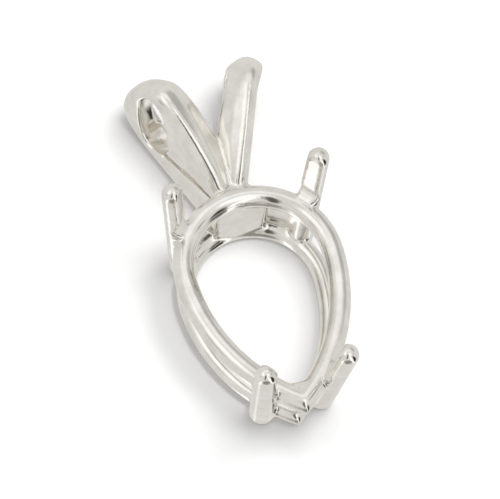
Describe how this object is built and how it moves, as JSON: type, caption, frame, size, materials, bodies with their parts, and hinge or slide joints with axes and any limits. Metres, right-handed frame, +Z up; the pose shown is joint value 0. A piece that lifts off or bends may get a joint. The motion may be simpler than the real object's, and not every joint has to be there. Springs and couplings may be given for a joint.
{
  "type": "pendant mounting",
  "caption": "Cast silver claw mounting for a pear-shaped stone: pear-shaped wire rails joined by notched prongs, with a rabbit-ear bail pierced for the chain.",
  "frame": {"origin": "under the middle of the bounding box, on the surface that the mounting lies on", "axes": "+X across the mounting, +Y from the point of the pear to the bail, +Z up, from the back of the mounting to the prong tips"},
  "size_m": [0.0062, 0.0144, 0.0059],
  "materials": {
    "silver": "polished sterling silver"
  },
  "bodies": {
    "root": {"pendant_mounting": "silver"}
  },
  "joints": []
}
